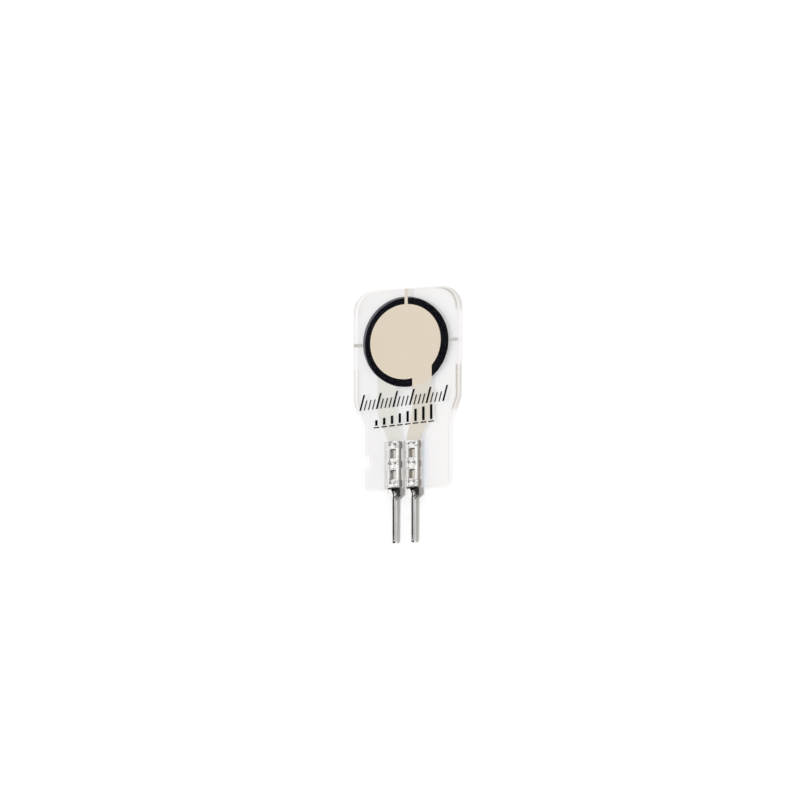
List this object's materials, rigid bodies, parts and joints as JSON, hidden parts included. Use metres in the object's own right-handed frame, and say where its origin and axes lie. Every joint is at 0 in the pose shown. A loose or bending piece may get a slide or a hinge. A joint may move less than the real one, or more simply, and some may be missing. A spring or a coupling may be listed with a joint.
{
  "type": "force sensing resistor",
  "caption": "Flat film pressure sensor with a round sensing disc in its head, two printed leads and two crimped pin terminals on its tail.",
  "frame": {"origin": "on the underside of the lower film, straight below the centre of the sensing disc", "axes": "+Y up the film away from the pins, +Z out of the printed side that is pressed, +X to the right of the print"},
  "size_m": [0.014, 0.0321, 0.001],
  "materials": {
    "polyester_film": "clear, glossy",
    "acrylic_adhesive": "clear, tacky",
    "top_silver_print": "matte, screen printed, beige through the film",
    "bottom_silver_print": "matte, screen printed",
    "sensing_ink": "matte, screen printed",
    "tinned_strip": "bright tin plate on stamped strip"
  },
  "bodies": {
    "root": {"top_film": "polyester_film", "bottom_film": "polyester_film", "adhesive_spacer": "acrylic_adhesive", "top_electrode": "top_silver_print", "bottom_electrode": "bottom_silver_print", "top_sensing_ink": "sensing_ink", "bottom_sensing_ink": "sensing_ink", "left_terminal": "tinned_strip", "right_terminal": "tinned_strip"}
  },
  "joints": []
}
